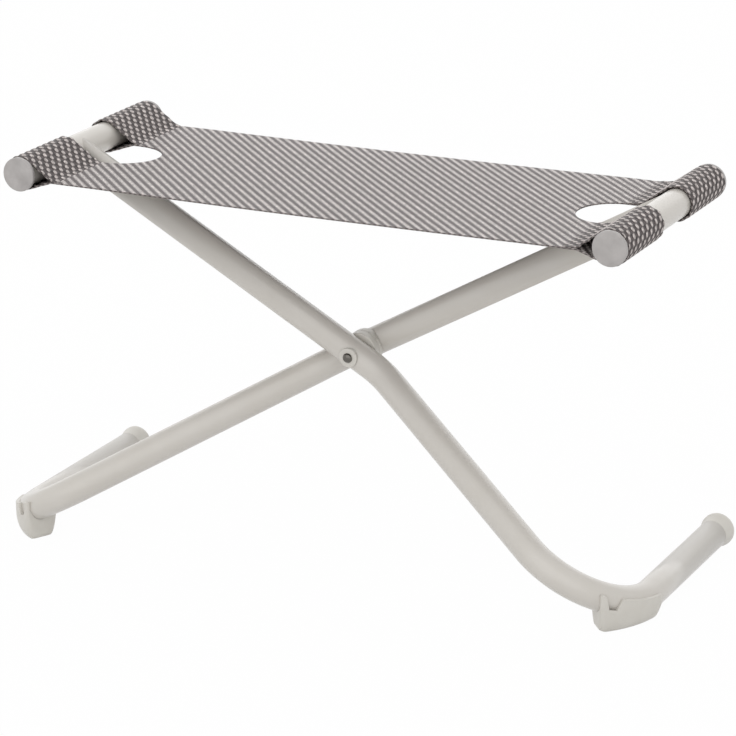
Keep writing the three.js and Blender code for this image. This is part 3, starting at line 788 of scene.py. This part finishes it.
def hingeRivet():
    low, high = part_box("hinge_rivet")
    radius = (high.x - low.x) / 2
    half = (high.y - low.y) / 2
    head = dome(radius, rivet["head"], -half, rivet["headSteps"])
    under = rivet["head"] + rivet["edge"] - half
    head += [(radius - rivet["edge"], under), (rivet["shank"], under)]
    profile = head + [(r, -along) for r, along in reversed(head)]
    bm = turned(profile, rivet["sides"], middle("hinge_rivet"))
    declare(newPiece("hinge_rivet_polished", bm, stainlessSteel), "front_frame", "rivet_steel", "hinge_rivet")


for name, info in frames.items():
    cornerShoe(name)
    shoeScrew(name)
    softened(name, "saddle", info["body"])
    softened(name, "washer", info["body"])
hingeRivet()
print("shoes, screws and hinge made")


# Sling: one strip of cloth. Each end goes under its bar, over it and back to the seam, reverse side out.

# Seen from a bar's axis, the strip leaves the panel's plane at "fold", is sewn down at "seam", and its notch
# ends at "notchTip". The panel's top lies "below" under the axis.
sling = {"thickness": 1.3 * mm, "slack": 1.0 * mm, "fold": 33 * mm, "below": 5 * mm, "sag": 1.0 * mm,
         "seam": {"left": 39 * mm, "right": 48 * mm}, "notchWidth": 72 * mm, "notchTip": 81 * mm,
         "sewnShare": 0.02, "relief": 1.0 * mm, "reliefFade": 4, "panelSteps": 12, "notchSteps": 20,
         "strapSteps": 5, "barSteps": 58, "flapSteps": 24, "seamSteps": 8, "columns": 64}


# Height of the folded-back end's middle surface above the bar's axis, where it slopes down to its seam
def flapHeight(side, x):
    share = (sling["seam"][side] - x) / (sling["seam"][side] - sling["fold"])
    return sling["thickness"] * (sling["sewnShare"] + (1 - sling["sewnShare"]) * share - 0.5) - sling["below"]


# Half of the strip's middle surface, by stations: x from the bar towards the middle, z from the bar's axis,
# half the notch's width, and the share of the yarns' relief
def slingHalf(side, span):
    radius = tube["radius"] + sling["slack"] + sling["thickness"] / 2
    lowZ = -sling["below"] - sling["thickness"] / 2
    highZ = lowZ + sling["thickness"]
    notch = sling["notchWidth"] / 2
    fold, seam = sling["fold"], sling["seam"][side]
    depth = sling["notchTip"] - seam
    stations = []
    for i in range(sling["panelSteps"]):
        share = i / sling["panelSteps"]
        x = span + (sling["notchTip"] - span) * share
        stations.append((x, lowZ - sling["sag"] * (1 - share ** 2), 0, 0))
    for i in range(sling["notchSteps"]):
        turn = math.pi / 2 * i / (sling["notchSteps"] - 1)
        stations.append((seam + depth * math.cos(turn), lowZ, notch * math.sin(turn), 0))
    stations.append((fold, lowZ, notch, 0))
    under = math.atan2(lowZ, fold) - math.acos(radius / math.hypot(fold, lowZ))
    over = math.atan2(highZ, fold) + math.acos(radius / math.hypot(fold, highZ))
    for i in range(1, sling["strapSteps"]):
        share = i / sling["strapSteps"]
        stations.append((fold + (radius * math.cos(under) - fold) * share,
                         lowZ + (radius * math.sin(under) - lowZ) * share, notch, share))
    for i in range(sling["barSteps"] + 1):
        turn = under - (under + 2 * math.pi - over) * i / sling["barSteps"]
        stations.append((radius * math.cos(turn), radius * math.sin(turn), notch, 1))
    for i in range(1, sling["flapSteps"] + 1):
        share = i / sling["flapSteps"]
        stations.append((radius * math.cos(over) * (1 - share) + fold * share,
                         radius * math.sin(over) * (1 - share) + highZ * share, notch, 1))
    for i in range(1, sling["seamSteps"] + 1):
        x = fold + (seam - fold) * i / sling["seamSteps"]
        stations.append((x, flapHeight(side, x), notch, 1 - (i / sling["seamSteps"]) ** sling["reliefFade"]))
    return stations


# Height of the reverse side's yarns, 0 to 1, at a place on the cloth: rows that swell and pinch
def yarnHeight(u, v):
    u, v = u / (weave["pitch"] * mm), v / (weave["pitch"] * mm)
    row = math.cos(perThread * (u - v) + backYarns["rowPhase"])
    swell = math.cos(perThread * (u + v) + backYarns["swellPhase"])
    low, high = backYarns["levels"]
    return smoothStep((row + backYarns["pinch"] * swell - low) / (high - low))


def slingCloth():
    left, right = middle("left_bar"), middle("right_bar")
    path = [(left.x + x, left.z + z, *rest) for x, z, *rest in reversed(slingHalf("left", -left.x)[1:])]
    path += [(right.x - x, right.z + z, *rest) for x, z, *rest in slingHalf("right", right.x)]
    length = [0]
    outward = [zAxis]
    for (x0, z0, *_), (x1, z1, *_) in zip(path, path[1:]):
        length.append(length[-1] + math.hypot(x1 - x0, z1 - z0))
        outward.append(Vector((z1 - z0, 0, x0 - x1)).normalized())
    low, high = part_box("sling_panel")
    bm = bmesh.new()
    flat = bm.loops.layers.uv.new("cloth")
    place = {}
    for edge, end in ((low.y, -1), (high.y, 1)):
        grid = bmesh.ops.create_grid(bm, x_segments=len(path) - 1, y_segments=sling["columns"],
                                     size=1)["verts"]
        for vert in grid:
            i = round((vert.co.x + 1) / 2 * (len(path) - 1))
            x, z, notch, relief = path[i]
            share = (end * vert.co.y + 1) / 2
            y = (hinge.y + end * notch) * (1 - share) + edge * share
            place[vert] = (length[i] - length[-1] / 2, y - hinge.y)
            vert.co = Vector((x, y, z)) + outward[i] * sling["relief"] * relief * yarnHeight(*place[vert])
    for face in bm.faces:
        for loop in face.loops:
            loop[flat].uv = place[loop.vert]
    area = sum(face.calc_area() for face in bm.faces)
    bmesh.ops.remove_doubles(bm, verts=bm.verts, dist=mergeLoose)
    cloth = newPiece("woven_sling", bm, slingFace)
    cloth.data.materials.append(slingBack)
    cloth.data.materials.append(slingEdge)
    body = cloth.modifiers.new("thickness", "SOLIDIFY")
    body.thickness = sling["thickness"]
    body.offset = 0
    body.material_offset = 1
    body.material_offset_rim = 2
    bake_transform(cloth)
    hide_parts("sling_panel", *[side + "_sling_loop_" + end for side in ("left", "right")
                                        for end in ("front", "rear")])
    return cloth, length[-1], high.y - low.y, area


# Two rows of lockstitch along each seam, seen on both sides, each stitch a short bead sunk in the cloth
stitch = {"pitch": 3.6 * mm, "length": 3.0 * mm, "thread": 0.6 * mm, "rows": (2.2 * mm, 5.2 * mm),
          "margin": 3 * mm, "sunk": 0.15 * mm}


def seamStitches(side, body):
    bar = middle(side + "_bar")
    inward = 1 if side == "left" else -1
    low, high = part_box("sling_panel")
    notch = sling["notchWidth"] / 2
    size = (stitch["thread"] / 2, stitch["length"] / 2, stitch["thread"] / 2)
    under = bar.z - sling["below"] - sling["thickness"] + stitch["sunk"]
    bm = bmesh.new()
    for row in stitch["rows"]:
        fromBar = sling["seam"][side] - row
        x = bar.x + inward * fromBar
        over = bar.z + flapHeight(side, fromBar) + sling["thickness"] / 2 - stitch["sunk"]
        for start, end in ((low.y, hinge.y - notch), (hinge.y + notch, high.y)):
            run = end - start - 2 * stitch["margin"]
            count = int(run / stitch["pitch"])
            for i in range(count):
                y = start + stitch["margin"] + run * (i + 0.5) / count
                for z in (over, under):
                    bead = bmesh.ops.create_icosphere(bm, subdivisions=1, radius=1)["verts"]
                    bmesh.ops.scale(bm, verts=bead, vec=size)
                    bmesh.ops.translate(bm, verts=bead, vec=(x, y, z))
    piece = newPiece(side + "_seam_stitches", bm, seamThread)
    declare(piece, body, "sling_cloth")
    return piece


cloth, clothLength, clothWidth, clothArea = slingCloth()
stitches = [seamStitches("left", "front_frame"), seamStitches("right", "rear_frame")]
print("sling sewn: cut", round(clothWidth / mm), "x", round(clothLength / mm), "mm")


# Floor, world and lamps: a white studio that lights the stool evenly, with three soft lamps

studio = {"floor": "#e6e6e6", "floorSize": 24, "floorShows": 0.98, "world": 0.84, "softness": 75}
lamps = {
    "overhead": {"strength": 0.1, "towards": (0.1, 0.15, -1)},
    "front": {"strength": 0.75, "towards": (-0.15, 0.9, -0.35)},
    "back": {"strength": 0.6, "towards": (0.35, -0.85, -0.4)},
}


# What the camera and mirror-like surfaces see: 1 for their rays, 0 for the light that falls on things
def directlySeen(owner):
    ray = addNode(owner, "ShaderNodeLightPath").outputs
    seen = addNode(owner, "ShaderNodeMath", {0: ray["Is Camera Ray"], 1: ray["Is Glossy Ray"]},
                   operation="MAXIMUM")
    return addNode(owner, "ShaderNodeMath", {0: seen, 1: ray["Is Transmission Ray"]}, operation="MAXIMUM")


def paleFloor():
    bm = bmesh.new()
    bmesh.ops.create_grid(bm, x_segments=1, y_segments=1, size=studio["floorSize"] / 2)
    material = newMaterial("white_sweep")
    shadow = addNode(material, "ShaderNodeBsdfDiffuse", {"Color": linear(studio["floor"])})
    glow = addNode(material, "ShaderNodeEmission", {"Color": white, "Strength": 1})
    amount = addNode(material, "ShaderNodeMath", {0: directlySeen(material), 1: studio["floorShows"]},
                     operation="MULTIPLY")
    both = addNode(material, "ShaderNodeMixShader", {0: amount, 1: shadow, 2: glow})
    addNode(material, "ShaderNodeOutputMaterial", {"Surface": both})
    newPiece("floor", bm, material)


def whiteWorld():
    world = bpy.data.worlds.new("white_studio")
    world.use_nodes = True
    world.node_tree.nodes.clear()
    level = addNode(world, "ShaderNodeMapRange",
                    {"Value": directlySeen(world), "To Min": studio["world"], "To Max": 1})
    light = addNode(world, "ShaderNodeBackground", {"Color": white, "Strength": level})
    addNode(world, "ShaderNodeOutputWorld", {"Surface": light})
    bpy.context.scene.world = world


def softLamp(name, strength, towards):
    lamp = bpy.data.lights.new(name + "_softbox", "SUN")
    lamp.energy = strength
    lamp.angle = math.radians(studio["softness"])
    holder = bpy.data.objects.new(name + "_softbox", lamp)
    holder.matrix_world = Vector(towards).to_track_quat("-Z", "Y").to_matrix().to_4x4()
    bpy.context.scene.collection.objects.link(holder)


paleFloor()
whiteWorld()
for name, lamp in lamps.items():
    softLamp(name, lamp["strength"], lamp["towards"])
bpy.context.scene.view_settings.view_transform = "Standard"
print("studio lit")
